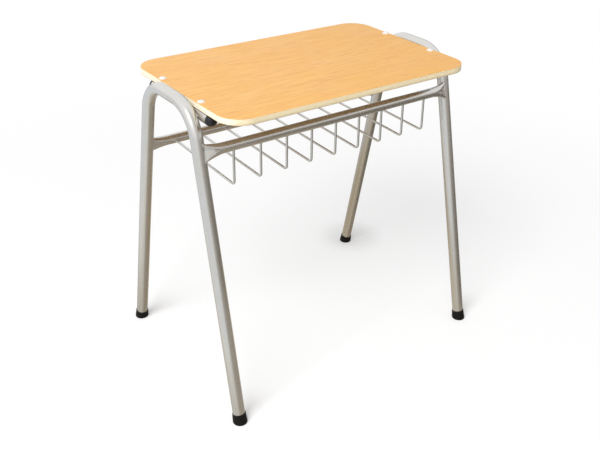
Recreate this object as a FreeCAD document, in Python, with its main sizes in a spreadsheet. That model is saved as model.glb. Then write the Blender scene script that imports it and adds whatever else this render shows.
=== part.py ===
"""School desk with a riveted plywood top, two bent tube leg frames and an open wire book basket.

Frame of the model: millimetres, origin on the floor under the middle of the desk, +X along the
long side, +Y from the sitting side to the back, +Z up.
"""
import FreeCAD, Part
import math
import os
import Sketcher

# ------------------------------------------------------------------------------ driving sizes
SIZES = {
    # desktop
    "top_length": 700,
    "top_depth": 460,
    "desk_height": 760,
    "corner_radius": 58,
    "core_thickness": 13.4,
    "laminate_thickness": 0.8,
    "laminate_edge_round": 0.4,
    # bent leg frames
    "leg_diameter": 30,
    "leg_wall": 1.5,
    "leg_lean": 12.3,
    "foot_spacing": 532,
    "edge_gap": 4,
    "crown_rise": 10,
    "bend_radius": 88,
    # bearer tubes under the top and their end plugs
    "bearer_diameter": 28,
    "bearer_wall": 1.5,
    "bearer_length": 256,
    "plug_dome_height": 17,
    "plug_rim_height": 4,
    "plug_insert_length": 12,
    "plug_insert_wall": 2,
    "plug_clearance": 0.1,
    # blind rivets
    "rivet_inset": 38,
    "rivet_diameter": 6,
    "rivet_hole_clearance": 0.1,
    "rivet_head_diameter": 18,
    "rivet_head_height": 4.4,
    "rivet_rim_height": 0.8,
    "rivet_bore_diameter": 3.4,
    "rivet_bore_depth": 1,
    "rivet_bulb_diameter": 9.2,
    "rivet_bulb_length": 7,
    "rivet_bulb_taper": 2.5,
    # cross rails with crushed ends
    "rail_diameter": 25,
    "rail_wall": 1.5,
    "rail_standoff": 11.5,
    "front_rail_drop": 99,
    "rear_rail_drop": 186.5,
    "crush_height": 46,
    "crush_thickness": 5.5,
    "crush_drop": 3,
    "flare_length": 60,
    "dent_length": 32,
    # basket wires
    "wire_count": 9,
    "wire_diameter": 6,
    "wire_margin": 81,
    "basket_depth": 98.5,
    "wire_bend_radius": 10,
    "wire_seat_drop": 3.5,
    # foot caps
    "cap_wall": 1.4,
    "cap_base_diameter": 35.6,
    "cap_height": 25,
    "cap_floor": 8,
    "cap_clearance": 0.1,
    "cap_edge_round": 2.5,
    "cap_rim_chamfer": 0.6,
}

# --------------------------------------------------------- places worked out from the sizes
TOP_THICKNESS = "(Sizes.core_thickness + 2 * Sizes.laminate_thickness)"
LEG_RADIUS = "(Sizes.leg_diameter / 2)"
BEARER_RADIUS = "(Sizes.bearer_diameter / 2)"
RAIL_RADIUS = "(Sizes.rail_diameter / 2)"
FRAME_X = f"(Sizes.top_length / 2 + Sizes.edge_gap + {LEG_RADIUS})"
CROWN_Z = f"(Sizes.desk_height + Sizes.crown_rise - {LEG_RADIUS})"
BEARER_X = f"({FRAME_X} - {LEG_RADIUS} - {BEARER_RADIUS})"
BEARER_Z = f"(Sizes.desk_height - {TOP_THICKNESS} - {BEARER_RADIUS})"
RIVET_Y = "(Sizes.bearer_length / 2 - Sizes.rivet_inset)"
HOLE_RADIUS = "(Sizes.rivet_diameter / 2 + Sizes.rivet_hole_clearance)"
HALF_FOOT_SPACING = "(Sizes.foot_spacing / 2)"
FRONT_RAIL_Z = "(Sizes.desk_height - Sizes.front_rail_drop)"
REAR_RAIL_Z = "(Sizes.desk_height - Sizes.rear_rail_drop)"


def leg_axis_y(height):
    """Distance of a leg's axis from the middle plane of the desk at a height."""
    return f"({HALF_FOOT_SPACING} - tan(Sizes.leg_lean) * ({height}))"


def rail_axis_y(height):
    """Distance of a cross rail's axis from the middle plane of the desk."""
    return f"({leg_axis_y(height)} + Sizes.rail_standoff / cos(Sizes.leg_lean))"


FRONT_RAIL_Y = rail_axis_y(FRONT_RAIL_Z)
REAR_RAIL_Y = rail_axis_y(REAR_RAIL_Z)

doc = FreeCAD.newDocument("school_desk")
sheet = doc.addObject("Spreadsheet::Sheet", "Sizes")
for row, (alias, value) in enumerate(SIZES.items(), start=1):
    sheet.set(f"A{row}", alias)
    sheet.set(f"B{row}", str(value))
    sheet.setAlias(f"B{row}", alias)
doc.recompute()

sub_parts = []


def size(expression):
    """Value of an expression over the sheet's cells, as a plain number."""
    value = sheet.evalExpression(str(expression).replace("Sizes.", ""))
    return float(getattr(value, "Value", value))


# ----------------------------------------------------------------------- drawing helpers
def new_body(label):
    """A named sub-part."""
    body = doc.addObject("PartDesign::Body", label)
    body.Label = label
    sub_parts.append(body)
    return body


def place(body, x="0", y="0", z="0", turn=0, lean=None):
    """Put a body at a point, turned about Z, after leaning it about X by an angle."""
    leaned = FreeCAD.Rotation(FreeCAD.Vector(1, 0, 0), size(lean) if lean else 0)
    turned = FreeCAD.Rotation(FreeCAD.Vector(0, 0, 1), turn)
    body.Placement = FreeCAD.Placement(FreeCAD.Vector(), turned.multiply(leaned))
    for axis, expression in (("x", x), ("y", y), ("z", z)):
        body.setExpression(f"Placement.Base.{axis}", expression)


def origin_plane(body, role):
    return next(item for item in body.Origin.OriginFeatures if item.Role == role)


def new_sketch(body, name, role, offset=None):
    """A sketch on one of the body's own origin planes, lifted off it where an offset is given."""
    sketch = body.newObject("Sketcher::SketchObject", f"{body.Name}_{name}")
    sketch.AttachmentSupport = [(origin_plane(body, role), "")]
    sketch.MapMode = "FlatFace"
    if offset:
        sketch.setExpression("AttachmentOffset.Base.z", offset)
    return sketch


def constrain(sketch, expression, kind, *where):
    """Add a dimension to a sketch and bind it to an expression."""
    index = sketch.addConstraint(Sketcher.Constraint(kind, *where, size(expression)))
    sketch.setExpression(f"Constraints[{index}]", expression)


def pin(sketch, geometry, end, point):
    """Fix one end (1 start, 2 end, 3 centre) of a piece of geometry at a point."""
    constrain(sketch, point[0], "DistanceX", geometry, end)
    constrain(sketch, point[1], "DistanceY", geometry, end)


def draw_circle(sketch, centre, radius):
    middle = FreeCAD.Vector(size(centre[0]), size(centre[1]), 0)
    circle = sketch.addGeometry(Part.Circle(middle, FreeCAD.Vector(0, 0, 1), size(radius)))
    pin(sketch, circle, 3, centre)
    constrain(sketch, radius, "Radius", circle)


def arc_through(start, end, radius, turn):
    """The shorter arc from start to end; turn 1 keeps its centre on the left of the way."""
    chord = end - start
    middle = (start + end) * 0.5
    height = math.sqrt(max(radius ** 2 - (chord.Length / 2) ** 2, 0))
    left = FreeCAD.Vector(-chord.y, chord.x, 0).normalize()
    centre = middle + left * (height * turn)
    first, last = (start, end) if turn > 0 else (end, start)
    angles = [math.atan2(point.y - centre.y, point.x - centre.x) for point in (first, last)]
    circle = Part.Circle(centre, FreeCAD.Vector(0, 0, 1), radius)
    return Part.ArcOfCircle(circle, *angles)


def draw_outline(sketch, points, bends=None, closed=True):
    """Straight lines through the points; bends gives {index: (radius, turn)} for the spans
    that are arcs, where span 0 runs from the first point to the second."""
    bends = bends or {}
    places = [FreeCAD.Vector(size(x), size(y), 0) for x, y in points]
    count = len(points) if closed else len(points) - 1
    ends = []
    for span in range(count):
        start, end = places[span], places[(span + 1) % len(places)]
        if span in bends:
            radius, turn = bends[span]
            index = sketch.addGeometry(arc_through(start, end, size(radius), turn))
            constrain(sketch, radius, "Radius", index)
            ends.append((index, 1, 2) if turn > 0 else (index, 2, 1))
        else:
            index = sketch.addGeometry(Part.LineSegment(start, end))
            ends.append((index, 1, 2))
        pin(sketch, index, ends[-1][1], points[span])
    for before, after in zip(ends, ends[1:] + (ends[:1] if closed else [])):
        sketch.addConstraint(Sketcher.Constraint("Coincident", before[0], before[2], after[0], after[1]))
    if not closed:
        pin(sketch, ends[-1][0], ends[-1][2], points[-1])


def pad(body, sketch, length, midplane=False):
    feature = body.newObject("PartDesign::Pad", f"{sketch.Name}_pad")
    feature.Profile = sketch
    feature.Midplane = midplane
    feature.setExpression("Length", length)
    return feature


def cut_through(body, sketch):
    """Cut a sketch's outline through the whole body, both ways."""
    doc.recompute()
    before = body.Shape.Volume
    feature = body.newObject("PartDesign::Pocket", f"{sketch.Name}_cut")
    feature.Profile = sketch
    feature.Type = "ThroughAll"
    feature.Midplane = True
    doc.recompute()
    if not body.Shape.Volume < before:
        raise RuntimeError(f"{feature.Name} cuts nothing")
    return feature


def revolve(body, sketch):
    """Turn a half profile drawn in the XZ plane about the body's Z axis."""
    feature = body.newObject("PartDesign::Revolution", f"{sketch.Name}_turned")
    feature.Profile = sketch
    feature.ReferenceAxis = (sketch, ["V_Axis"])
    feature.Angle = 360
    return feature


def round_edges(body, base, chosen, radius):
    """Fillet the edges of a feature that a test picks."""
    doc.recompute()
    names = [f"Edge{number}" for number, edge in enumerate(base.Shape.Edges, start=1) if chosen(edge)]
    feature = body.newObject("PartDesign::Fillet", f"{base.Name}_rounded")
    feature.Base = (base, names)
    feature.setExpression("Radius", radius)
    return feature


# ------------------------------------------------------------------------------- desktop
def make_board(label, thickness, underside, rounded_height=None):
    """One layer of the desktop: a rectangle with round corners and the four rivet holes."""
    body = new_body(label)
    outline = new_sketch(body, "outline", "XY_Plane")
    half_x, half_y, corner = "Sizes.top_length / 2", "Sizes.top_depth / 2", "Sizes.corner_radius"
    points = []
    for sign_x, sign_y in ((1, 1), (-1, 1), (-1, -1), (1, -1)):
        beside = (f"{sign_x} * ({half_x})", f"{sign_y} * ({half_y} - {corner})")
        along = (f"{sign_x} * ({half_x} - {corner})", f"{sign_y} * ({half_y})")
        points += [beside, along] if sign_x == sign_y else [along, beside]
    draw_outline(outline, points, {span: (corner, 1) for span in (0, 2, 4, 6)})
    pad(body, outline, thickness)
    holes = new_sketch(body, "rivet_holes", "XY_Plane")
    for sign_x in (-1, 1):
        for sign_y in (-1, 1):
            draw_circle(holes, (f"{sign_x} * {BEARER_X}", f"{sign_y} * {RIVET_Y}"), HOLE_RADIUS)
    drilled = cut_through(body, holes)
    if rounded_height is not None:
        level = size(rounded_height)

        def is_rim(edge):
            return edge.BoundBox.ZLength < 1e-6 and abs(edge.BoundBox.ZMin - level) < 1e-6 and not edge.isClosed()

        round_edges(body, drilled, is_rim, "Sizes.laminate_edge_round")
    place(body, z=underside)


# ---------------------------------------------------------------------------- leg frames
def make_leg_frame(label, side):
    """An upturned U of round tube: level crown, two bends and two leaning legs."""
    body = new_body(label)
    corner_y = leg_axis_y(CROWN_Z)
    tangent = "(Sizes.bend_radius * tan((90 - Sizes.leg_lean) / 2))"
    path = new_sketch(body, "path", "YZ_Plane")
    draw_outline(path, [
        ("0", CROWN_Z),
        (f"{corner_y} - {tangent}", CROWN_Z),
        (f"{corner_y} + {tangent} * sin(Sizes.leg_lean)", f"{CROWN_Z} - {tangent} * cos(Sizes.leg_lean)"),
        (f"{HALF_FOOT_SPACING} - Sizes.cap_floor * sin(Sizes.leg_lean)", "Sizes.cap_floor * cos(Sizes.leg_lean)"),
    ], {1: ("Sizes.bend_radius", -1)}, closed=False)
    section = new_sketch(body, "section", "XZ_Plane")
    draw_circle(section, ("0", CROWN_Z), LEG_RADIUS)
    draw_circle(section, ("0", CROWN_Z), f"{LEG_RADIUS} - Sizes.leg_wall")
    doc.recompute()
    half = body.newObject("PartDesign::AdditivePipe", f"{label}_half")
    half.Profile = section
    half.Spine = (path, ["Edge1", "Edge2", "Edge3"])
    doc.recompute()
    whole = body.newObject("PartDesign::Mirrored", f"{label}_whole")
    whole.Originals = [half]
    whole.MirrorPlane = (origin_plane(body, "XZ_Plane"), [""])
    body.Tip = whole
    place(body, x=f"{side} * {FRAME_X}")


def make_foot_cap(label, side, row):
    """A rubber ferrule over a leg's end: a socket round the tube and a flat face on the floor.
    Its own Z axis runs up the leg from the point where the leg's axis meets the floor."""
    body = new_body(label)
    socket = f"{LEG_RADIUS} + Sizes.cap_clearance"
    rim = f"{LEG_RADIUS} + Sizes.cap_clearance + Sizes.cap_wall"
    base = "Sizes.cap_base_diameter / 2"
    section = new_sketch(body, "section", "XZ_Plane")
    draw_outline(section, [
        ("0", "Sizes.cap_floor"),
        (socket, "Sizes.cap_floor"),
        (socket, "Sizes.cap_height"),
        (f"{rim} - Sizes.cap_rim_chamfer", "Sizes.cap_height"),
        (rim, "Sizes.cap_height - Sizes.cap_rim_chamfer"),
        (base, "Sizes.cap_floor / 2"),
        (base, f"-({base})"),
        ("0", f"-({base})"),
    ])
    revolve(body, section)
    ground = new_sketch(body, "ground", "YZ_Plane")
    reach = "Sizes.cap_base_diameter"
    along = (f"{reach} * cos(Sizes.leg_lean)", f"{reach} * sin(Sizes.leg_lean)")
    draw_outline(ground, [
        (f"-{along[0]}", f"-{along[1]}"),
        (f"-{along[0]} + {along[1]}", f"-{along[1]} - {along[0]}"),
        (f"{along[0]} + {along[1]}", f"{along[1]} - {along[0]}"),
        along,
    ])
    flat = cut_through(body, ground)
    lean = math.radians(size("Sizes.leg_lean"))
    up = FreeCAD.Vector(0, -math.sin(lean), math.cos(lean))
    sole = max(flat.Shape.Faces, key=lambda face: -face.CenterOfMass.dot(up))
    round_edges(body, flat, lambda edge: any(edge.isSame(other) for other in sole.Edges), "Sizes.cap_edge_round")
    place(body, f"{side} * {FRAME_X}", f"{row} * {HALF_FOOT_SPACING}", "0",
          turn=0 if row < 0 else 180, lean="-Sizes.leg_lean")


# ------------------------------------------------------------------- bearers and rivets
def make_bearer(label, side):
    """A straight tube under the top, drilled on top for the two rivets."""
    body = new_body(label)
    section = new_sketch(body, "section", "XZ_Plane")
    draw_circle(section, ("0", "0"), BEARER_RADIUS)
    draw_circle(section, ("0", "0"), f"{BEARER_RADIUS} - Sizes.bearer_wall")
    pad(body, section, "Sizes.bearer_length", midplane=True)
    holes = new_sketch(body, "rivet_holes", "XY_Plane")
    for row in (-1, 1):
        draw_circle(holes, ("0", f"{row} * {RIVET_Y}"), HOLE_RADIUS)
    doc.recompute()
    drilled = body.newObject("PartDesign::Pocket", f"{label}_drilled")
    before = body.Shape.Volume
    drilled.Profile = holes
    drilled.Reversed = True
    drilled.setExpression("Length", BEARER_RADIUS)
    doc.recompute()
    if not body.Shape.Volume < before:
        raise RuntimeError(f"{label} is not drilled")
    place(body, f"{side} * {BEARER_X}", "0", BEARER_Z)


def make_bearer_plug(label, side, row):
    """A domed plastic plug in a bearer's end. Its own Z axis points out of the tube."""
    body = new_body(label)
    insert = f"{BEARER_RADIUS} - Sizes.bearer_wall - Sizes.plug_clearance"
    rise = "(Sizes.plug_dome_height - Sizes.plug_rim_height)"
    dome_radius = f"(({BEARER_RADIUS} ^ 2 + {rise} ^ 2) / (2 * {rise}))"
    section = new_sketch(body, "section", "XZ_Plane")
    draw_outline(section, [
        ("0", "Sizes.plug_dome_height"),
        ("0", "-Sizes.plug_insert_wall"),
        (f"{insert} - Sizes.plug_insert_wall", "-Sizes.plug_insert_wall"),
        (f"{insert} - Sizes.plug_insert_wall", "-Sizes.plug_insert_length"),
        (insert, "-Sizes.plug_insert_length"),
        (insert, "0"),
        (BEARER_RADIUS, "0"),
        (BEARER_RADIUS, "Sizes.plug_rim_height"),
    ], {7: (dome_radius, 1)})
    revolve(body, section)
    place(body, f"{side} * {BEARER_X}", f"{row} * Sizes.bearer_length / 2", BEARER_Z, lean=f"{-row * 90}")


def make_rivet(label, side, row):
    """A large flanged blind rivet through the top and the bearer's upper wall."""
    body = new_body(label)
    shank = "Sizes.rivet_diameter / 2"
    grip = f"({TOP_THICKNESS} + Sizes.bearer_wall)"
    head, bore, bulb = (f"Sizes.rivet_{part}_diameter / 2" for part in ("head", "bore", "bulb"))
    dome = "(Sizes.rivet_head_height - Sizes.rivet_rim_height)"
    dome_radius = f"((({head}) ^ 2 + {dome} ^ 2) / (2 * {dome}))"
    bore_top = f"Sizes.rivet_head_height - {dome_radius} + sqrt({dome_radius} ^ 2 - ({bore}) ^ 2)"
    taper = "Sizes.rivet_bulb_taper"
    section = new_sketch(body, "section", "XZ_Plane")
    draw_outline(section, [
        ("0", "Sizes.rivet_head_height - Sizes.rivet_bore_depth"),
        ("0", f"-{grip} - Sizes.rivet_bulb_length"),
        (shank, f"-{grip} - Sizes.rivet_bulb_length"),
        (bulb, f"-{grip} - Sizes.rivet_bulb_length + {taper}"),
        (bulb, f"-{grip} - {taper}"),
        (shank, f"-{grip}"),
        (shank, "0"),
        (head, "0"),
        (head, "Sizes.rivet_rim_height"),
        (bore, bore_top),
        (bore, "Sizes.rivet_head_height - Sizes.rivet_bore_depth"),
    ], {8: (dome_radius, 1)})
    revolve(body, section)
    place(body, f"{side} * {BEARER_X}", f"{row} * {RIVET_Y}", "Sizes.desk_height")


# --------------------------------------------------------------------------- cross rails
# Stations of a rail's end, from the round tube (0) to the leg's axis (1): place along the flare,
# how far the tube is flattened there, and how far it has grown in height and sunk.
RAIL_STATIONS = (
    (0.00, 0.00, 0.00),
    (0.20, 0.06, 0.05),
    (0.45, 0.26, 0.26),
    (0.65, 0.52, 0.50),
    (0.85, 0.85, 0.82),
    (1.00, 1.00, 1.00),
)


def draw_crushed_section(sketch, station, inset):
    """A rail's section on its way to the crushed end: two upright flats joined by two arcs.
    The flats widen over the dent, which is shorter than the flare."""
    place_along, flat, grown = station
    dent = f"max(0; 1 - {1 - place_along} * Sizes.flare_length / Sizes.dent_length)"
    small_flat = "Sizes.rail_diameter / 50"
    half_width = f"({RAIL_RADIUS} - {flat} * (Sizes.rail_diameter - Sizes.crush_thickness) / 2 - {inset})"
    half_height = f"({RAIL_RADIUS} + {grown} * (Sizes.crush_height - Sizes.rail_diameter) / 2 - {inset})"
    full_flat = "(Sizes.crush_height - Sizes.crush_thickness) / 2"
    half_flat = f"({small_flat} + {dent} * ({full_flat} - {small_flat}))"
    middle = f"({grown} * -Sizes.crush_drop)"
    rise = f"({half_height} - {half_flat})"
    radius = f"(({half_width} ^ 2 + {rise} ^ 2) / (2 * {rise}))"
    width, height, level, mid = (size(text) for text in (half_width, half_height, half_flat, middle))
    crown, sole = FreeCAD.Vector(0, mid + height, 0), FreeCAD.Vector(0, mid - height, 0)
    right_low, right_high = FreeCAD.Vector(width, mid - level, 0), FreeCAD.Vector(width, mid + level, 0)
    left_low, left_high = FreeCAD.Vector(-width, mid - level, 0), FreeCAD.Vector(-width, mid + level, 0)
    front = sketch.addGeometry(Part.LineSegment(right_low, right_high))
    over = sketch.addGeometry(Part.Arc(right_high, crown, left_high))
    back = sketch.addGeometry(Part.LineSegment(left_high, left_low))
    under = sketch.addGeometry(Part.Arc(left_low, sole, right_low))
    for one, other in ((front, over), (over, back), (back, under), (under, front)):
        sketch.addConstraint(Sketcher.Constraint("Coincident", one, 2, other, 1))
    pin(sketch, front, 1, (half_width, f"{middle} - {half_flat}"))
    pin(sketch, front, 2, (half_width, f"{middle} + {half_flat}"))
    pin(sketch, back, 1, (f"-{half_width}", f"{middle} + {half_flat}"))
    pin(sketch, back, 2, (f"-{half_width}", f"{middle} - {half_flat}"))
    constrain(sketch, f"{middle} + {half_height} - {radius}", "DistanceY", over, 3)
    constrain(sketch, f"{middle} - {half_height} + {radius}", "DistanceY", under, 3)


def make_rail(label, row, axis_y, axis_z):
    """A round tube between two legs with its ends crushed flat and seated on the legs.
    Its own Z axis runs along the legs, which stand beside it at +Y."""
    body = new_body(label)
    round_half = f"({FRAME_X} - Sizes.flare_length)"
    section = new_sketch(body, "section", "YZ_Plane")
    for inset in ("0", "Sizes.rail_wall"):
        draw_crushed_section(section, RAIL_STATIONS[0], inset)
    pad(body, section, f"2 * {round_half}", midplane=True)
    ends = []
    for kind, inset in (("Additive", "0"), ("Subtractive", "Sizes.rail_wall")):
        sections = []
        for number, station in enumerate(RAIL_STATIONS):
            sketch = new_sketch(body, f"{kind.lower()}_{number}", "YZ_Plane",
                                f"{round_half} + {station[0]} * Sizes.flare_length")
            draw_crushed_section(sketch, station, inset)
            sections.append(sketch)
        doc.recompute()
        loft = body.newObject(f"PartDesign::{kind}Loft", f"{label}_{kind.lower()}_end")
        loft.Profile = sections[0]
        loft.Sections = sections[1:]
        ends.append(loft)
        doc.recompute()
    both = body.newObject("PartDesign::Mirrored", f"{label}_both_ends")
    both.Originals = ends
    both.MirrorPlane = (origin_plane(body, "YZ_Plane"), [""])
    body.Tip = both
    doc.recompute()
    legs = new_sketch(body, "legs", "XY_Plane")
    for side in (-1, 1):
        draw_circle(legs, (f"{side} * {FRAME_X}", "Sizes.rail_standoff"), LEG_RADIUS)
    cut_through(body, legs)
    place(body, "0", f"{row} * {axis_y}", axis_z, turn=0 if row < 0 else 180, lean="-Sizes.leg_lean")


# --------------------------------------------------------------------------------- wires
def make_wire(label, x):
    """A basket wire: down from the front rail, a tight bend, and back to the rear rail.
    Its own origin is on the front rail's axis."""
    body = new_body(label)
    drop = "Sizes.basket_depth"
    run = f"({FRONT_RAIL_Y} + {REAR_RAIL_Y})"
    rear = f"({REAR_RAIL_Z} - {FRONT_RAIL_Z})"
    bend = "Sizes.wire_bend_radius"
    end = (run, f"{rear} - Sizes.wire_seat_drop")
    path = new_sketch(body, "path", "YZ_Plane")
    turn = FreeCAD.Vector(size(bend), -size(drop) + size(bend), 0)
    tip = FreeCAD.Vector(size(end[0]), size(end[1]), 0)
    away = tip - turn
    last = math.atan2(away.y, away.x) - math.acos(size(bend) / away.Length)
    down = path.addGeometry(Part.LineSegment(FreeCAD.Vector(), FreeCAD.Vector(0, turn.y, 0)))
    arc = path.addGeometry(Part.ArcOfCircle(Part.Circle(turn, FreeCAD.Vector(0, 0, 1), size(bend)), math.pi,
                                            last + 2 * math.pi))
    touch = turn + FreeCAD.Vector(math.cos(last), math.sin(last), 0) * size(bend)
    floor = path.addGeometry(Part.LineSegment(touch, tip))
    pin(path, down, 1, ("0", "0"))
    path.addConstraint(Sketcher.Constraint("Vertical", down))
    path.addConstraint(Sketcher.Constraint("Tangent", down, 2, arc, 1))
    path.addConstraint(Sketcher.Constraint("Tangent", arc, 2, floor, 1))
    constrain(path, bend, "Radius", arc)
    constrain(path, f"{bend} - {drop}", "DistanceY", arc, 3)
    pin(path, floor, 2, end)
    section = new_sketch(body, "section", "XY_Plane")
    draw_circle(section, ("0", "0"), "Sizes.wire_diameter / 2")
    doc.recompute()
    rod = body.newObject("PartDesign::AdditivePipe", f"{label}_rod")
    rod.Profile = section
    rod.Spine = (path, ["Edge1", "Edge2", "Edge3"])
    rails = new_sketch(body, "rails", "YZ_Plane")
    draw_circle(rails, ("0", "0"), RAIL_RADIUS)
    draw_circle(rails, (run, rear), RAIL_RADIUS)
    cut_through(body, rails)
    place(body, x, f"-{FRONT_RAIL_Y}", FRONT_RAIL_Z)


# ------------------------------------------------------------------------------ the desk
make_board("backing_laminate", "Sizes.laminate_thickness", f"Sizes.desk_height - {TOP_THICKNESS}",
           rounded_height="0")
make_board("plywood_core", "Sizes.core_thickness", "Sizes.desk_height - Sizes.laminate_thickness - Sizes.core_thickness")
make_board("top_laminate", "Sizes.laminate_thickness", "Sizes.desk_height - Sizes.laminate_thickness",
           rounded_height="Sizes.laminate_thickness")
for side, side_name in ((-1, "left"), (1, "right")):
    make_leg_frame(f"{side_name}_leg_frame", side)
    make_bearer(f"{side_name}_bearer", side)
    for row, row_name in ((-1, "front"), (1, "rear")):
        make_bearer_plug(f"{row_name}_{side_name}_bearer_plug", side, row)
        make_rivet(f"{row_name}_{side_name}_rivet", side, row)
        make_foot_cap(f"{row_name}_{side_name}_foot_cap", side, row)
make_rail("front_rail", -1, FRONT_RAIL_Y, FRONT_RAIL_Z)
make_rail("rear_rail", 1, REAR_RAIL_Y, REAR_RAIL_Z)
wire_count = round(size("Sizes.wire_count"))
for number in range(wire_count):
    share = 2 * number / (wire_count - 1) - 1
    make_wire(f"basket_wire_{number + 1}", f"{share} * ({FRAME_X} - Sizes.wire_margin)")

doc.recompute()
for item in doc.Objects:
    if "Invalid" in item.State or "Error" in item.State:
        raise RuntimeError(f"{item.Name} is {item.State}")
os.makedirs("parts", exist_ok=True)
for sub_part in sub_parts:
    shape = sub_part.Shape
    if shape.isNull() or not shape.isValid() or len(shape.Solids) != 1:
        raise RuntimeError(f"{sub_part.Label} is not one valid solid")
    shape.exportStep(f"parts/{sub_part.Label}.step")
    print(f"{sub_part.Label}: {shape.Volume / 1000:.2f} cm3")
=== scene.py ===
"""Looks of the school desk: finishes for the CAD nodes, smooth tubes and wires, weld beads,
the studio and the camera. Metres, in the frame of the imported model.
"""

import math
import random

import bmesh
import bpy
from mathutils import Matrix, Vector


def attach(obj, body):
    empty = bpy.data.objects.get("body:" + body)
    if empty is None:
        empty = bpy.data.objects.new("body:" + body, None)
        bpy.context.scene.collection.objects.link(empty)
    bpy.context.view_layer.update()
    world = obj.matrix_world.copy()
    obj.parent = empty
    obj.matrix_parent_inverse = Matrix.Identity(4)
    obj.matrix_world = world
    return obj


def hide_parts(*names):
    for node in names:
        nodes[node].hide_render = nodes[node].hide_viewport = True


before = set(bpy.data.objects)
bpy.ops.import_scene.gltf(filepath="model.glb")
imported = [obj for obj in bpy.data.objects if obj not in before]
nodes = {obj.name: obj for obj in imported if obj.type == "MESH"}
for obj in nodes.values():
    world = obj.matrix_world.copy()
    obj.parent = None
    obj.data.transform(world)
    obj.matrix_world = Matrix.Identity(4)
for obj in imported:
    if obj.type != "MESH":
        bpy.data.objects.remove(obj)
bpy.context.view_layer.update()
scene = bpy.context.scene

# ------------------------------------------------------------------------ sizes of the part
LEG_RADIUS, LEG_WALL = 0.015, 0.0015
LEG_LEAN = math.radians(12.3)
HALF_FOOT_SPACING = 0.266
FRAME_X = 0.369
CROWN_Z = 0.755
LEG_BEND = 0.088
LEG_START = 0.008                         # where the tube begins in the foot cap, along the leg
BEARER_RADIUS, BEARER_Z = 0.014, 0.731
RAIL_RADIUS, RAIL_WALL = 0.0125, 0.0015
RAIL_STANDOFF = 0.0115
FLARE_LENGTH = 0.060                      # from the round rail to the legs' axes
FLARE_GAIN, FLARE_POWER = 1.1, 1.85       # how fast the flare grows towards the leg
CRUSH_HEIGHT, CRUSH_THICKNESS, CRUSH_DROP = 0.046, 0.0055, 0.003
DENT_START, DENT_END = 0.338, 0.364       # |x| of the dent's tip and of its widest place
DENT_HALF_START, DENT_HALF_END = 0.0015, 0.0188     # half of the dent's height at those two
DENT_TIP, DENT_SLOPE = 0.0100, 0.45       # how far out the crease starts, and how fast it sinks
DENT_CREASE, DENT_RIM = 0.50, 0.20        # the crease's place between the dent's middle and its
                                          # upper rim, and the share of the depth at the rims
FRONT_RAIL_Z, REAR_RAIL_Z = 0.661, 0.5735
WIRE_RADIUS = 0.003
WIRE_BEND = 0.010
WIRE_COUNT = 9
WIRE_REACH = 0.288                        # x of the outermost wires
WIRE_TOP_SINK = 0.001                     # how far a wire goes into the front rail's wall
WIRE_END_GAP = 0.0098                     # from the rear rail's middle to a wire's end
WIRE_SEAT_DROP = 0.0035
BASKET_DEPTH = 0.0985
DESK_HEIGHT = 0.76
LAMINATE = 0.0008
CORE, CORE_LAYERS = 0.0134, 9

# Weld beads: the radius of the bead and the length of one of its puddles.
WIRE_WELD = (0.0011, 0.0028)
RAIL_WELD = (0.0013, 0.0042)
BEARER_WELD = (0.0013, 0.006)
BEARER_WELD_HALF_Y, BEARER_WELD_HALF_Z = 0.0054, 0.0042
RAIL_WELD_STEP = 0.0008                   # between the points of the bead round a rail's end

# How finely the round things are cut.
LEG_FACETS, LEG_BEND_STEPS = 72, 40
WIRE_FACETS, WIRE_BEND_STEPS = 28, 14
BEAD_FACETS = 10
WIRE_SEAM_POINTS, BEARER_WELD_POINTS = 48, 64
SECTION_POINTS = 96                       # of a rail: outer wall, top fold, inner wall, bottom fold
RAIL_STEPS = 48
SEARCH_MARGIN, HALVINGS = 0.001, 24       # of the search for the leg's skin along a rail
SHARPEST_SMOOTH_TURN = math.radians(50)

SIDES = ((-1, "left"), (1, "right"))
ROWS = ((-1, "front"), (1, "rear"))


def leg_axis_y(height):
    """Distance of a leg's axis from the middle plane at a height."""
    return HALF_FOOT_SPACING - math.tan(LEG_LEAN) * height


def rail_axis_y(height):
    """Distance of a cross rail's axis from the middle plane."""
    return leg_axis_y(height) + RAIL_STANDOFF / math.cos(LEG_LEAN)


# ----------------------------------------------------------------------------------- camera
FOCAL_PIXELS, SENSOR_WIDTH = 833.87, 36
PHOTO_WIDTH, PHOTO_HEIGHT = 600, 450
PRINCIPAL_POINT = (334.39, 184.54)
VIEW_TARGET = Vector((0.0995, -0.0086, 0.400))
VIEW_DISTANCE = 2.272
VIEW_YAW, VIEW_PITCH, VIEW_ROLL = (math.radians(a) for a in (-38.21, 26.77, 1.81))


def make_camera():
    data = bpy.data.cameras.new("camera")
    data.sensor_fit = "HORIZONTAL"
    data.sensor_width = SENSOR_WIDTH
    data.lens = SENSOR_WIDTH * FOCAL_PIXELS / PHOTO_WIDTH
    data.shift_x = (PHOTO_WIDTH / 2 - PRINCIPAL_POINT[0]) / PHOTO_WIDTH
    data.shift_y = (PRINCIPAL_POINT[1] - PHOTO_HEIGHT / 2) / PHOTO_WIDTH
    back = Vector((math.sin(VIEW_YAW) * math.cos(VIEW_PITCH),
                   -math.cos(VIEW_YAW) * math.cos(VIEW_PITCH), math.sin(VIEW_PITCH)))
    right = (-back).cross(Vector((0, 0, 1))).normalized()
    up = right.cross(-back)
    rolled_right = right * math.cos(VIEW_ROLL) + up * math.sin(VIEW_ROLL)
    rolled_up = up * math.cos(VIEW_ROLL) - right * math.sin(VIEW_ROLL)
    camera = bpy.data.objects.new("camera", data)
    turn = Matrix((rolled_right, rolled_up, back)).transposed().to_4x4()
    camera.matrix_world = Matrix.Translation(VIEW_TARGET + back * VIEW_DISTANCE) @ turn
    scene.collection.objects.link(camera)
    scene.camera = camera


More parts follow.
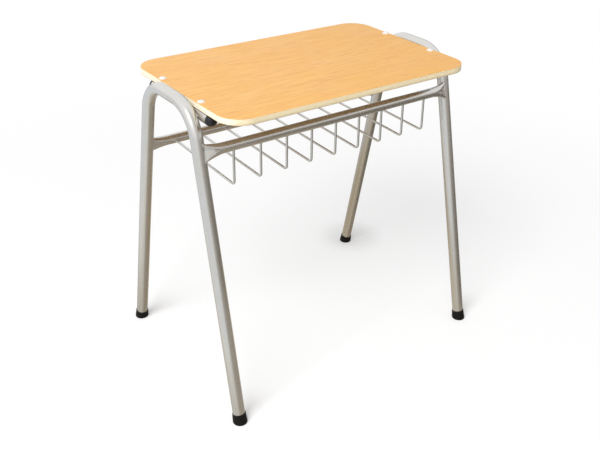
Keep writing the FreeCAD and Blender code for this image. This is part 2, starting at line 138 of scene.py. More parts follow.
# -------------------------------------------------------------------------- node shorthands
class Nodes:
    """A node tree of a material or the world, with one call per node."""

    def __init__(self, tree):
        self.tree = tree
        tree.nodes.clear()

    def add(self, kind, inputs=None, **settings):
        node = self.tree.nodes.new(kind)
        for key, value in settings.items():
            setattr(node, key, value)
        for key, value in (inputs or {}).items():
            self.feed(node.inputs[key], value)
        return node

    def feed(self, socket, value):
        if isinstance(value, bpy.types.NodeSocket):
            self.tree.links.new(value, socket)
        else:
            socket.default_value = value

    def math(self, operation, *values):
        return self.add("ShaderNodeMath", dict(enumerate(values)), operation=operation).outputs[0]

    def vector(self, operation, *values):
        """A vector operation that gives a vector."""
        inputs = dict(enumerate(values))
        return self.add("ShaderNodeVectorMath", inputs, operation=operation).outputs["Vector"]

    def measure(self, operation, *values):
        """A vector operation that gives a number."""
        inputs = dict(enumerate(values))
        return self.add("ShaderNodeVectorMath", inputs, operation=operation).outputs["Value"]

    def split(self, vector):
        return self.add("ShaderNodeSeparateXYZ", {0: vector}).outputs

    def span(self, value, low, high, to_low=0.0, to_high=1.0, kind="LINEAR"):
        """The value's place between low and high, as a number between to_low and to_high."""
        inputs = {"Value": value, "From Min": low, "From Max": high,
                  "To Min": to_low, "To Max": to_high}
        return self.add("ShaderNodeMapRange", inputs, interpolation_type=kind).outputs[0]

    def ease(self, value, low, high, to_low=0.0, to_high=1.0):
        """The same, with soft ends."""
        return self.span(value, low, high, to_low, to_high, "SMOOTHSTEP")

    def mix(self, share, first, second, blend="MIX"):
        node = self.add("ShaderNodeMix", data_type="RGBA", blend_type=blend)
        for number, value in ((0, share), (6, first), (7, second)):
            self.feed(node.inputs[number], value)
        return node.outputs[2]

    def place(self):
        """Where the shaded point is, in metres in the frame of the part."""
        return self.add("ShaderNodeTexCoord").outputs["Object"]

    def noise(self, place, scale, detail=2.0, roughness=0.5):
        """Noise with so many bumps per metre along each axis."""
        stretched = self.add("ShaderNodeMapping", {"Vector": place, "Scale": scale}).outputs[0]
        inputs = {"Vector": stretched, "Scale": 1.0, "Detail": detail, "Roughness": roughness}
        return self.add("ShaderNodeTexNoise", inputs).outputs[0]

    def bump(self, height, distance):
        inputs = {"Height": height, "Distance": distance, "Strength": 1.0}
        return self.add("ShaderNodeBump", inputs).outputs[0]

    def finish(self, **sockets):
        shader = self.add("ShaderNodeBsdfPrincipled")
        for key, value in sockets.items():
            self.feed(shader.inputs[key.replace("_", " ")], value)
        self.add("ShaderNodeOutputMaterial", {"Surface": shader.outputs[0]})


def new_material(name):
    material = bpy.data.materials.new(name)
    material.use_nodes = True
    return material, Nodes(material.node_tree)


def srgb(red, green, blue):
    """A colour written in 8-bit sRGB, as linear RGBA."""
    def linear(value):
        value /= 255
        return value / 12.92 if value <= 0.04045 else ((value + 0.055) / 1.055) ** 2.4
    return (linear(red), linear(green), linear(blue), 1.0)


# -------------------------------------------------------------------------------- finishes
def beech_laminate():
    """Orange beech: straight fine grain along X with long lines, short flecks and soft bands."""
    material, n = new_material("beech_laminate")
    place = n.place()
    sway = n.span(n.noise(place, (4.2, 8.0, 1.0)), 0.0, 1.0, -0.009, 0.009)
    swayed = n.vector("ADD", place, n.add("ShaderNodeCombineXYZ", {"Y": sway}).outputs[0])
    bands = n.noise(swayed, (1.6, 16.0, 1.0))
    lines = n.noise(swayed, (11.0, 230.0, 1.0), detail=3.0, roughness=0.62)
    fine = n.noise(swayed, (50.0, 800.0, 1.0))
    veins = n.noise(swayed, (17.0, 170.0, 1.0))
    flecks = n.noise(swayed, (120.0, 1300.0, 1.0), detail=1.0)
    tone = n.mix(n.span(lines, 0.32, 0.68), srgb(240, 175, 89), srgb(254, 200, 113))
    tone = n.mix(n.span(bands, 0.35, 0.68, 0.0, 0.50), tone, srgb(247, 185, 93))
    tone = n.mix(n.span(fine, 0.52, 0.80, 0.0, 0.26), tone, srgb(226, 158, 82))
    tone = n.mix(n.ease(veins, 0.57, 0.70, 0.0, 0.42), tone, srgb(222, 150, 76))
    tone = n.mix(n.span(flecks, 0.66, 0.75, 0.0, 0.38), tone, srgb(190, 118, 56))
    height = n.math("ADD", n.math("MULTIPLY", fine, 0.5), n.math("MULTIPLY", flecks, 0.5))
    smudge = n.noise(place, (9.0, 12.0, 9.0), detail=3.0)
    n.finish(Base_Color=tone, Roughness=n.span(smudge, 0.3, 0.7, 0.36, 0.46),
             Normal=n.bump(height, 0.00012), Specular_IOR_Level=0.55)
    return material


def backing_laminate():
    """The brown sheet that balances the top: dull, with a faint paper mottle and rub marks."""
    material, n = new_material("backing_laminate")
    place = n.place()
    mottle = n.noise(place, (38.0, 38.0, 1.0), detail=4.0, roughness=0.6)
    fibres = n.noise(place, (90.0, 700.0, 1.0))
    rubs = n.noise(place, (4.0, 130.0, 1.0))
    tone = n.mix(n.span(mottle, 0.32, 0.70), srgb(148, 119, 82), srgb(169, 139, 98))
    tone = n.mix(n.span(fibres, 0.45, 0.75, 0.0, 0.35), tone, srgb(140, 111, 74))
    tone = n.mix(n.span(rubs, 0.66, 0.78, 0.0, 0.25), tone, srgb(196, 168, 130))
    n.finish(Base_Color=tone, Roughness=n.span(mottle, 0.3, 0.7, 0.58, 0.70),
             Normal=n.bump(fibres, 0.00008), Specular_IOR_Level=0.3)
    return material


def plywood():
    """Edge of the core: thin pale veneers, in turn along and across the grain, with glue lines;
    painted shade darkens the lower layers and a painted paler light lies on the two short sides."""
    material, n = new_material("ply_edge")
    place = n.place()
    height_here = n.split(place)[2]
    wander = n.span(n.noise(place, (14.0, 14.0, 1.0), detail=1.0), 0.0, 1.0, -0.00022, 0.00022)
    underside = DESK_HEIGHT - LAMINATE - CORE
    above_it = n.math("SUBTRACT", n.math("ADD", height_here, wander), underside)
    layer = n.math("DIVIDE", above_it, CORE / CORE_LAYERS)
    odd = n.math("MODULO", n.math("FLOOR", layer), 2.0)
    facing = n.split(n.add("ShaderNodeNewGeometry").outputs["Normal"])
    facing_x, facing_y = n.math("ABSOLUTE", facing[0]), n.math("ABSOLUTE", facing[1])
    short_side = n.ease(n.math("SUBTRACT", facing_x, facing_y), -0.35, 0.35)
    end_grain = n.math("ABSOLUTE", n.math("SUBTRACT", odd, short_side))
    pores = n.noise(place, (2300.0, 2300.0, 1600.0), detail=1.0)
    fibres = n.noise(place, (70.0, 70.0, 2600.0), detail=3.0, roughness=0.6)
    along = n.mix(n.span(fibres, 0.35, 0.70), srgb(255, 245, 214), srgb(250, 232, 191))
    across = n.mix(n.span(pores, 0.42, 0.70), srgb(253, 236, 198), srgb(238, 210, 158))
    tone = n.mix(end_grain, along, across)
    glue = n.span(n.math("PINGPONG", layer, 0.5), 0.02, 0.10, 0.40, 0.0)
    tone = n.mix(glue, tone, srgb(196, 164, 116))
    patches = n.noise(place, (11.0, 11.0, 60.0))
    tone = n.mix(n.span(patches, 0.55, 0.78, 0.0, 0.30), tone, srgb(240, 216, 168))
    # painted shade: the lower layers darker, as on an edge whose bottom faces down, away from the
    # light
    tone = n.mix(n.span(layer, 0.2, 4.5, 0.42, 0.0), tone, srgb(184, 161, 117))
    # painted light: both short sides paler, as on an end that the lamp lights strongly
    tone = n.mix(n.math("MULTIPLY", short_side, 0.55), tone, srgb(255, 252, 236))
    height = n.math("ADD", n.math("MULTIPLY", pores, end_grain), n.math("MULTIPLY", fibres, 0.4))
    n.finish(Base_Color=tone, Roughness=n.span(fibres, 0.3, 0.7, 0.50, 0.62),
             Normal=n.bump(height, 0.0002), Specular_IOR_Level=0.35)
    return material


def silver_paint():
    """Silver lacquer: fine flakes, orange peel, mottling, drawn lines, scuffs by the floor."""
    material, n = new_material("silver_paint")
    place = n.place()
    flakes = n.noise(place, (4200.0,) * 3, detail=1.0)
    peel = n.noise(place, (420.0,) * 3, detail=1.0)
    mottle = n.noise(place, (16.0,) * 3, detail=3.0)
    drawn = n.noise(place, (900.0, 900.0, 22.0))
    scuffs = n.noise(place, (150.0, 150.0, 38.0), detail=4.0, roughness=0.65)
    low = n.ease(n.split(place)[2], 0.03, 0.30, 1.0, 0.10)
    worn = n.math("MULTIPLY", n.ease(scuffs, 0.60, 0.72), low)
    tone = n.mix(n.span(flakes, 0.35, 0.70), srgb(217, 214, 207), srgb(224, 222, 217))
    tone = n.mix(n.span(mottle, 0.35, 0.70, 0.0, 0.5), tone, srgb(217, 211, 200))
    tone = n.mix(n.span(drawn, 0.55, 0.80, 0.0, 0.25), tone, srgb(198, 192, 180))
    tone = n.mix(n.math("MULTIPLY", worn, 0.12), tone, srgb(172, 166, 152))
    rough = n.math("ADD", n.span(flakes, 0.3, 0.7, 0.23, 0.27), n.math("MULTIPLY", worn, 0.05))
    n.finish(Base_Color=tone, Metallic=0.88, Roughness=rough, Normal=n.bump(peel, 0.000025))
    return material


def rivet_metal():
    """Plain aluminium, pressed smooth and dulled white, with faint tool marks and small dents."""
    material, n = new_material("aluminium")
    place = n.place()
    grain = n.noise(place, (900.0,) * 3, detail=3.0)
    dents = n.noise(place, (260.0,) * 3, detail=1.0)
    tone = n.mix(n.span(grain, 0.35, 0.70), srgb(238, 234, 230), srgb(250, 247, 244))
    n.finish(Base_Color=tone, Metallic=0.35, Roughness=n.span(grain, 0.3, 0.7, 0.38, 0.50),
             Normal=n.bump(dents, 0.00012))
    return material


def black_plastic():
    """Moulded black polyethylene with a soft gloss and fine rubbing marks."""
    material, n = new_material("black_plastic")
    place = n.place()
    cloud = n.noise(place, (90.0,) * 3, detail=3.0)
    marks = n.noise(place, (1500.0, 240.0, 1500.0))
    tone = n.mix(n.span(cloud, 0.35, 0.70), srgb(8, 8, 9), srgb(17, 17, 18))
    n.finish(Base_Color=tone, Roughness=n.span(marks, 0.3, 0.7, 0.15, 0.24),
             Normal=n.bump(marks, 0.00003), Specular_IOR_Level=0.55)
    return material


def black_rubber():
    """Matt black rubber, slightly grey where it meets the floor."""
    material, n = new_material("black_rubber")
    place = n.place()
    grit = n.noise(place, (1300.0,) * 3)
    cloud = n.noise(place, (120.0,) * 3, detail=3.0)
    tone = n.mix(n.span(cloud, 0.35, 0.70), srgb(9, 9, 8), srgb(20, 19, 17))
    dust = n.span(n.split(place)[2], 0.0, 0.004, 0.25, 0.0)
    tone = n.mix(n.math("MULTIPLY", dust, grit), tone, srgb(90, 86, 80))
    n.finish(Base_Color=tone, Roughness=n.span(grit, 0.3, 0.7, 0.50, 0.64),
             Normal=n.bump(grit, 0.00008), Specular_IOR_Level=0.25)
    return material


# ------------------------------------------------------------------------------ mesh helpers
def new_piece(name, mesh_data, material, replaced=()):
    """A piece that rides on the desk's one body, smooth but for the rims at its ends."""
    mesh_data.shade_smooth()
    mesh_data.set_sharp_from_angle(angle=SHARPEST_SMOOTH_TURN)
    piece = bpy.data.objects.new(name, mesh_data)
    scene.collection.objects.link(piece)
    mesh_data.materials.append(material)
    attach(piece, "root")
    if replaced:
        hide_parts(*replaced)


def rings_to_mesh(name, rings, closed):
    """Skin over rings of equal length. Open skins are capped, closed ones joined end to end."""
    mesh = bmesh.new()
    rows = [[mesh.verts.new(point) for point in ring] for ring in rings]
    pairs = zip(rows, rows[1:] + rows[:1]) if closed else zip(rows, rows[1:])
    for one, other in pairs:
        for k in range(len(one)):
            after = (k + 1) % len(one)
            mesh.faces.new((one[k], one[after], other[after], other[k]))
    if not closed:
        mesh.faces.new(reversed(rows[0]))
        mesh.faces.new(rows[-1])
    bmesh.ops.recalc_face_normals(mesh, faces=mesh.faces)
    data = bpy.data.meshes.new(name)
    mesh.to_mesh(data)
    mesh.free()
    return data


def turns(count):
    """So many angles, evenly round a circle."""
    return [2 * math.pi * k / count for k in range(count)]


def ring_about(centre, tangent, side, radius, count):
    """A circle of points about a path, starting at the side vector."""
    across = tangent.cross(side).normalized()
    side = across.cross(tangent).normalized()
    return [centre + side * radius * math.cos(t) + across * radius * math.sin(t)
            for t in turns(count)]


def rounded_path(corners, bend, steps):
    """A path through corners in (y, z) with each inner corner replaced by an arc, as pairs of a
    point and a tangent."""
    points = [(Vector(corners[0]), (Vector(corners[1]) - Vector(corners[0])).normalized())]
    for before, corner, after in zip(corners, corners[1:], corners[2:]):
        before, corner, after = Vector(before), Vector(corner), Vector(after)
        into, out = (corner - before).normalized(), (after - corner).normalized()
        angle = into.angle(out)
        reach = bend * math.tan(angle / 2)
        start = corner - into * reach
        turn = 1 if into.x * out.y - into.y * out.x > 0 else -1
        centre = start + Vector((-into.y, into.x)) * bend * turn
        for k in range(steps + 1):
            swing = Matrix.Rotation(turn * angle * k / steps, 2)
            points.append((centre + swing @ (start - centre), swing @ into))
    last = (Vector(corners[-1]) - Vector(corners[-2])).normalized()
    points.append((Vector(corners[-1]), last))
    return points


def in_plane(x, pair):
    """A (y, z) pair as a point or direction at x."""
    return Vector((x, pair[0], pair[1]))


def make_tube(name, x, corners, bend, radius, wall, facets, steps, material, replaced):
    """A bent tube in the plane at x: outer skin, bore and two end rings. Without a wall, a rod."""
    path = rounded_path(corners, bend, steps)
    across = Vector((1, 0, 0))

    def skin(reach):
        return [ring_about(in_plane(x, point), in_plane(0, tangent), across, reach, facets)
                for point, tangent in path]

    rings = skin(radius) + (skin(radius - wall)[::-1] if wall else [])
    mesh_data = rings_to_mesh(name, rings, closed=bool(wall))
    new_piece(name, mesh_data, material, replaced)


def loop_length(loop):
    return sum((b - a).length for a, b in zip(loop, loop[1:] + loop[:1]))


UNEVEN_PLACES, UNEVENNESS = 7, 0.16       # along a bead, and the share of its radius
BEAD_BASE, PUDDLE_SWELL = 0.86, 0.2       # shares of the bead's radius
FEWEST_PUDDLES = 5


def make_bead(name, loop, size, seed, material):
    """A weld bead round a closed loop: a rope of overlapping puddles with uneven swell."""
    radius, puddle_length = size
    luck = random.Random(seed)
    centre = sum(loop, Vector()) / len(loop)
    swell = [luck.uniform(-UNEVENNESS, UNEVENNESS) for _ in range(UNEVEN_PLACES)]
    puddles = max(FEWEST_PUDDLES, round(loop_length(loop) / puddle_length))
    rings = []
    for k, point in enumerate(loop):
        tangent = (loop[(k + 1) % len(loop)] - loop[k - 1]).normalized()
        turn = k / len(loop)
        place = turn * len(swell)
        low, part = int(place), place - int(place)
        ease = part * part * (3 - 2 * part)
        uneven = swell[low] * (1 - ease) + swell[(low + 1) % len(swell)] * ease
        puddle = abs(math.sin(math.pi * puddles * turn))
        thick = radius * (BEAD_BASE + PUDDLE_SWELL * puddle + uneven)
        rings.append(ring_about(point, tangent, point - centre, thick, BEAD_FACETS))
    new_piece(name, rings_to_mesh(name, rings, closed=True), material)


# ------------------------------------------------------------------------------- the desk
def make_leg_frames(paint):
    """The two leg frames, each one tube bent into an upturned U."""
    corner_y = leg_axis_y(CROWN_Z)
    end_y = HALF_FOOT_SPACING - LEG_START * math.sin(LEG_LEAN)
    end_z = LEG_START * math.cos(LEG_LEAN)
    corners = [(-end_y, end_z), (-corner_y, CROWN_Z), (corner_y, CROWN_Z), (end_y, end_z)]
    for side, side_name in SIDES:
        make_tube(f"{side_name}_leg_frame_tube", side * FRAME_X, corners, LEG_BEND, LEG_RADIUS,
                  LEG_WALL, LEG_FACETS, LEG_BEND_STEPS, paint, [f"{side_name}_leg_frame"])


def wire_corners():
    """The corner points (y, z) of a wire, with its ends just inside the walls of the two rails,
    and the direction of its long run."""
    front_y, rear_y = -rail_axis_y(FRONT_RAIL_Z), rail_axis_y(REAR_RAIL_Z)
    top = Vector((front_y, FRONT_RAIL_Z - RAIL_RADIUS + WIRE_TOP_SINK))
    tip = Vector((rear_y, REAR_RAIL_Z - WIRE_SEAT_DROP))
    turn = Vector((front_y + WIRE_BEND, FRONT_RAIL_Z - BASKET_DEPTH + WIRE_BEND))
    away = tip - turn
    last = math.atan2(away.y, away.x) - math.acos(WIRE_BEND / away.length)
    touch = turn + Vector((math.cos(last), math.sin(last))) * WIRE_BEND
    along = (tip - touch).normalized()
    corner = touch - along * ((touch.x - front_y) / along.x)
    return top, corner, tip - along * WIRE_END_GAP, along


def make_wires(paint):
    """The basket's wires, each with a weld bead at both rails."""
    top, corner, end, along = wire_corners()
    front = Vector((top.x, FRONT_RAIL_Z))
    rear = Vector((rail_axis_y(REAR_RAIL_Z), REAR_RAIL_Z))
    ends = (("front", front, Vector((0, 1))), ("rear", rear, along))
    for number in range(WIRE_COUNT):
        x = WIRE_REACH * (2 * number / (WIRE_COUNT - 1) - 1)
        make_tube(f"basket_wire_{number + 1}_rod", x, [top, corner, end], WIRE_BEND, WIRE_RADIUS,
                  0, WIRE_FACETS, WIRE_BEND_STEPS, paint, [f"basket_wire_{number + 1}"])
        for row_name, axis, run in ends:
            make_bead(f"weld_wire_{number + 1}_{row_name}", wire_seam(x, axis, corner, run),
                      WIRE_WELD, f"{row_name}{number}", paint)


def wire_seam(x, axis, start, run):
    """The closed line where a wire's skin meets a rail's skin. The rail's axis is at (y, z)."""
    loop = []
    up = Vector((-run.y, run.x))
    for t in turns(WIRE_SEAM_POINTS):
        offset = up * (WIRE_RADIUS * math.sin(t))
        base = start + offset - axis
        along = -base.dot(run)
        away = (base + run * along).length
        reach = along - math.sqrt(RAIL_RADIUS ** 2 - away ** 2)
        point = start + offset + run * reach
        loop.append(Vector((x + WIRE_RADIUS * math.cos(t), point.x, point.y)))
    return loop


def blend(share, first, second):
    return first + (second - first) * min(1.0, max(0.0, share))


def rail_point(x, number, inset):
    """Point of a rail's section at x from the middle: how far it is out from the legs and up along
    them. The round tube flares and flattens. Its outer wall has a dent that widens towards the
    leg, deepest along a crease above the middle, with a steep upper and a long lower flank."""
    place = max(0.0, (x - FRAME_X + FLARE_LENGTH) / FLARE_LENGTH)
    grown = min(1.0, FLARE_GAIN * place ** FLARE_POWER)
    high = blend(grown, RAIL_RADIUS, CRUSH_HEIGHT / 2) - inset
    deep = blend(grown, RAIL_RADIUS, CRUSH_THICKNESS / 2) - inset
    dented = (x - DENT_START) / (DENT_END - DENT_START)
    half_dent = blend(dented, DENT_HALF_START, DENT_HALF_END)
    sunk = 0.0
    if x > DENT_START:
        sunk = max(0.0, deep + inset - DENT_TIP + DENT_SLOPE * (x - DENT_START))
    quarter, step = divmod(number, SECTION_POINTS // 4)
    share = step / (SECTION_POINTS // 4)
    if quarter % 2 == 0:
        across = 2 * share - 1
        flank = 1 + DENT_CREASE if across < DENT_CREASE else 1 - DENT_CREASE
        dish = 1 - abs(across - DENT_CREASE) / flank
        out = deep - ((1 - DENT_RIM) * sunk * dish if quarter == 0 else 0.0)
        up = across * half_dent
    else:
        rise = high - half_dent
        radius = (deep ** 2 + rise ** 2) / (2 * rise)
        start = math.atan2(half_dent - high + radius, deep)
        angle = start + share * (math.pi - 2 * start)
        out, up = radius * math.cos(angle), high - radius + radius * math.sin(angle)
    sign = 1 if quarter < 2 else -1
    out *= sign
    if out > 0 or quarter == 0:
        out -= DENT_RIM * sunk * (1.0 if quarter == 0 else out / deep)
    return out, sign * up - grown * CRUSH_DROP


def rail_reach(number, inset):
    """How far from the middle one line of a rail's skin meets the leg."""
    low, high = FRAME_X - LEG_RADIUS - SEARCH_MARGIN, FRAME_X
    for _ in range(HALVINGS):
        x = (low + high) / 2
        beside = rail_point(x, number, inset)[0] + RAIL_STANDOFF
        if abs(beside) < LEG_RADIUS and x > FRAME_X - math.sqrt(LEG_RADIUS ** 2 - beside ** 2):
            high = x
        else:
            low = x
    return high


def rail_rings(row, height, inset):
    """Rings of points along a rail, from its left end on the leg to its right end."""
    axis = Vector((0, row * rail_axis_y(height), height))
    outward = Vector((0, row * math.cos(LEG_LEAN), math.sin(LEG_LEAN)))
    along = Vector((0, -row * math.sin(LEG_LEAN), math.cos(LEG_LEAN)))
    reaches = [rail_reach(number, inset) for number in range(SECTION_POINTS)]
    rings = []
    for step in [*range(-RAIL_STEPS, 0), *range(1, RAIL_STEPS + 1)]:
        share, side = (abs(step) - 1) / (RAIL_STEPS - 1), math.copysign(1, step)
        ring = []
        for number, reach in enumerate(reaches):
            x = blend(share, FRAME_X - FLARE_LENGTH, reach)
            out, up = rail_point(x, number, inset)
            ring.append(axis + Vector((side * x, 0, 0)) + outward * out + along * up)
        rings.append(ring)
    return rings


def make_rails(paint):
    """The two cross rails, each with a weld bead round its crushed ends."""
    for (row, row_name), height in zip(ROWS, (FRONT_RAIL_Z, REAR_RAIL_Z)):
        outer, inner = rail_rings(row, height, 0.0), rail_rings(row, height, RAIL_WALL)
        skin = rings_to_mesh(f"{row_name}_rail_tube", outer + inner[::-1], closed=True)
        new_piece(f"{row_name}_rail_tube", skin, paint, [f"{row_name}_rail"])
        for ring, side_name in ((outer[0], "left"), (outer[-1], "right")):
            make_bead(f"weld_{row_name}_rail_{side_name}", even_loop(ring, RAIL_WELD_STEP),
                      RAIL_WELD, f"{row_name}{side_name}", paint)


def even_loop(loop, step):
    """The same closed line, walked in even steps."""
    count = round(loop_length(loop) / step)
    stride = loop_length(loop) / count
    walked, passed, even = 0.0, 0.0, []
    for a, b in zip(loop, loop[1:] + loop[:1]):
        span = (b - a).length
        while len(even) < count and walked <= passed + span:
            even.append(a.lerp(b, (walked - passed) / span if span else 0.0))
            walked += stride
        passed += span
    return even


def make_bearer_welds(paint):
    """A puddle round each point where a leg frame's bend touches a bearer."""
    rise = BEARER_Z - (CROWN_Z - LEG_BEND)
    centre_y = leg_axis_y(CROWN_Z) - LEG_BEND * math.tan((math.pi / 2 - LEG_LEAN) / 2)
    touch_y = centre_y + math.sqrt(LEG_BEND ** 2 - rise ** 2)
    slope = math.atan2(touch_y - centre_y, rise)
    for row, row_name in ROWS:
        along_leg = Vector((0, row * math.cos(slope), -math.sin(slope)))
        for side, side_name in SIDES:
            touch = Vector((side * (FRAME_X - LEG_RADIUS), row * touch_y, BEARER_Z))
            loop = []
            for t in turns(BEARER_WELD_POINTS):
                spread = Vector((0, BEARER_WELD_HALF_Y * math.cos(t),
                                 BEARER_WELD_HALF_Z * math.sin(t)))
                beside = spread - along_leg * spread.dot(along_leg)
                leg_gap = LEG_RADIUS - math.sqrt(LEG_RADIUS ** 2 - beside.length_squared)
                bearer_gap = BEARER_RADIUS - math.sqrt(BEARER_RADIUS ** 2 - spread.z ** 2)
                loop.append(touch + spread + Vector((side * (leg_gap - bearer_gap) / 2, 0, 0)))
            make_bead(f"weld_{row_name}_{side_name}_bearer", loop, BEARER_WELD,
                      f"b{row_name}{side_name}", paint)


# ------------------------------------------------------------------------------ the studio
WHITE, BLACK = (1, 1, 1, 1), (0, 0, 0, 1)
FLOOR_HALF, FLOOR_CELLS = 20.0, 20
PAPER = srgb(250, 250, 250)
PAPER_NEAR, PAPER_FAR = 0.9, 2.2          # from the desk's middle: lit paper fades out between them
PAPER_SHARE, FOOT_SHARE = 0.40, 0.36      # lit paper that the camera sees by the desk, and what
                                          # the places by the feet add to it
LIT_PAPER = 0.8875                        # how bright the paper is out of the shadow
FOOT_SHADOW_SHIFT = (0.030, 0.014)        # from a foot to the middle of the place by it
FOOT_SHADOW_WIDE, FOOT_SHADOW_NARROW = 0.13, 0.03
KEY_HEADING = (-0.643, -0.300, 0.705)     # from the desk to the lamp
KEY_DISTANCE, KEY_SIZE, KEY_WATTS = 8.0, 4.6, 585
LAMP_AIM = Vector((0, 0, 0.5))
KEY_GLOW = (1.75, 1.80, 1.90, 1)          # what shiny surfaces see in the lamp's place
KEY_GLOW_WIDE, KEY_GLOW_NARROW = 26, 13   # degrees from its middle: none of it, and all of it
DOME_STRENGTH = 0.40                      # of the world's light on matt surfaces
HORIZON_LOW, HORIZON_HIGH = -0.10, 0.20   # slopes between which the room's two halves blend


def make_floor():
    """A plain white floor. The camera sees its own white with a share of lit paper, which holds
    the desk's soft shadow and fades out far off. Shiny surfaces see the studio past it, with a
    painted shade of the desk and painted warm and cool light, set by the place on the floor."""
    mesh = bmesh.new()
    bmesh.ops.create_grid(mesh, x_segments=FLOOR_CELLS, y_segments=FLOOR_CELLS, size=FLOOR_HALF)
    data = bpy.data.meshes.new("floor")
    mesh.to_mesh(data)
    mesh.free()
    floor = bpy.data.objects.new("floor", data)
    scene.collection.objects.link(floor)
    material, n = new_material("white_floor")
    rays = n.add("ShaderNodeLightPath").outputs
    seen = n.math("MAXIMUM", rays["Is Camera Ray"], rays["Is Transmission Ray"])
    place = n.place()

    def within(x, y, wide, narrow):
        """One on the floor within a narrow distance of a point, and zero beyond a wide one."""
        return n.ease(n.measure("DISTANCE", place, (x, y, 0.0)), wide, narrow)

    near = n.ease(n.measure("LENGTH", place), PAPER_NEAR, PAPER_FAR, 1.0, 0.0)
    paper_share = n.math("MULTIPLY", near, PAPER_SHARE)
    for side, _ in SIDES:
        for row, _ in ROWS:
            foot = within(side * FRAME_X + FOOT_SHADOW_SHIFT[0],
                          row * HALF_FOOT_SPACING + FOOT_SHADOW_SHIFT[1],
                          FOOT_SHADOW_WIDE, FOOT_SHADOW_NARROW)
            paper_share = n.math("ADD", paper_share, n.math("MULTIPLY", foot, FOOT_SHARE))
    own_share = n.math("SUBTRACT", 1.0, paper_share)
    unlit_share = n.math("SUBTRACT", 1.0, n.math("MULTIPLY", paper_share, LIT_PAPER))
    weight = n.math("SUBTRACT", 1.0, n.math("MULTIPLY", seen, own_share))
    strength = n.math("MULTIPLY", seen, unlit_share)
    paper = n.add("ShaderNodeBsdfDiffuse", {"Color": n.mix(weight, BLACK, PAPER)}).outputs[0]
    glow = n.add("ShaderNodeEmission", {"Color": WHITE, "Strength": strength}).outputs[0]
    lit = n.add("ShaderNodeAddShader", {0: paper, 1: glow}).outputs[0]

    across = n.split(place)[0]
    # painted light and shade that shiny surfaces see on the floor: warmer near the desk, cooler far
    # out, then the desk's painted shade
    painted_floor_shade = n.mix(within(0.35, 0.0, 1.50, 0.98), (0.95, 1.0, 1.0, 1), (1.0, 0.99, 0.885, 1))
    for share, colour in (
            (n.ease(across, -0.80, -0.35), (0.72, 0.70, 0.68, 1)),      # painted shade of the desk, right of the left legs
            (n.ease(across, 0.30, 0.64), (0.48, 0.46, 0.43, 1)),        # deeper painted shade, right of the desk
            (within(-0.05, 0.45, 0.60, 0.20), (0.80, 0.73, 0.63, 1)),   # painted warm shade behind the desk
            (within(0.15, 0.05, 0.55, 0.20), (0.94, 0.87, 0.74, 1))):   # painted warm shade under the desk, as from its brown underside
        painted_floor_shade = n.mix(share, painted_floor_shade, colour, blend="MULTIPLY")
    past = n.add("ShaderNodeBsdfTransparent", {"Color": painted_floor_shade}).outputs[0]
    both = n.add("ShaderNodeMixShader", {0: rays["Is Glossy Ray"], 1: lit, 2: past}).outputs[0]
    n.add("ShaderNodeOutputMaterial", {"Surface": both})
    data.materials.append(material)


def cosine(degrees):
    return math.cos(math.radians(degrees))


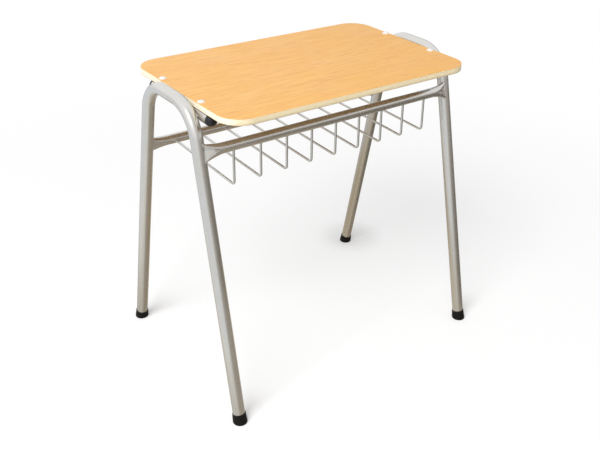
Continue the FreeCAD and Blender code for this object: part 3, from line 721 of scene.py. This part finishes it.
def make_world():
    """A white studio. Its light on matt surfaces is soft and even. Shiny ones see a white room
    that is dim in some directions, with a soft glow where the lamp is."""
    world = bpy.data.worlds.new("studio")
    world.use_nodes = True
    scene.world = world
    n = Nodes(world.node_tree)
    rays = n.add("ShaderNodeLightPath").outputs
    heading = n.add("ShaderNodeTexCoord").outputs["Generated"]
    split = n.split(heading)
    level = n.add("ShaderNodeCombineXYZ", {"X": split[0], "Y": split[1]}).outputs[0]
    level = n.vector("NORMALIZE", level)

    def side(azimuth, wide, narrow):
        """One at headings within narrow degrees of the azimuth, and zero beyond wide ones."""
        middle = (cosine(azimuth), math.sin(math.radians(azimuth)), 0.0)
        near = n.measure("DOT_PRODUCT", level, middle)
        return n.ease(near, cosine(wide), cosine(narrow))

    # Below the horizon: dim in front and to the right.
    below = n.mix(side(-53, 70, 37), (0.80, 0.80, 0.86, 1), (0.47, 0.43, 0.40, 1))
    # Above it: dimmer in front, and low down on the right.
    above = n.mix(side(-80, 42, 14), (1.03, 1.05, 1.10, 1), (0.62, 0.62, 0.63, 1))
    low_right = n.math("MULTIPLY", side(28, 34, 14), n.ease(split[2], 0.16, 0.58, 1.0, 0.0))
    above = n.mix(low_right, above, (0.50, 0.54, 0.57, 1))
    shine = n.mix(n.ease(split[2], HORIZON_LOW, HORIZON_HIGH), below, above)
    to_key = n.measure("DOT_PRODUCT", heading, KEY_HEADING)
    glowing = n.ease(to_key, cosine(KEY_GLOW_WIDE), cosine(KEY_GLOW_NARROW))
    shine = n.mix(glowing, shine, KEY_GLOW)

    def light(colour, strength):
        return n.add("ShaderNodeBackground", {"Color": colour, "Strength": strength}).outputs[0]

    white, dome, glossy = light(WHITE, 1.0), light(WHITE, DOME_STRENGTH), light(shine, 1.0)
    lit = n.add("ShaderNodeMixShader", {0: rays["Is Glossy Ray"], 1: dome, 2: glossy}).outputs[0]
    seen = n.math("MAXIMUM", rays["Is Camera Ray"], rays["Is Transmission Ray"])
    both = n.add("ShaderNodeMixShader", {0: seen, 1: lit, 2: white}).outputs[0]
    n.add("ShaderNodeOutputWorld", {"Surface": both})


def make_lamp(name, heading, distance, size, watts):
    """A square soft box that looks at the desk from a heading. Shiny surfaces do not see it: they
    see the world's soft glow in its place."""
    data = bpy.data.lights.new(name, "AREA")
    data.shape = "SQUARE"
    data.size = size
    data.energy = watts
    lamp = bpy.data.objects.new(name, data)
    lamp.location = LAMP_AIM + Vector(heading).normalized() * distance
    lamp.rotation_euler = (LAMP_AIM - lamp.location).to_track_quat("-Z", "Y").to_euler()
    lamp.visible_glossy = False
    scene.collection.objects.link(lamp)


# ------------------------------------------------------------------------------ everything
make_camera()
make_world()
make_floor()
make_lamp("key", KEY_HEADING, KEY_DISTANCE, KEY_SIZE, KEY_WATTS)

# The finish of each CAD node whose name ends so. All others are painted.
finishes = {"top_laminate": beech_laminate(), "backing_laminate": backing_laminate(),
            "plywood_core": plywood()}
paint = silver_paint()
finishes.update({"rivet": rivet_metal(), "plug": black_plastic(), "cap": black_rubber()})
for node_name, node in nodes.items():
    finish = next((look for end, look in finishes.items() if node_name.endswith(end)), paint)
    for material_slot in node.material_slots:
        material_slot.material = finish

make_leg_frames(paint)
make_wires(paint)
make_rails(paint)
make_bearer_welds(paint)

scene.view_settings.view_transform = "Standard"
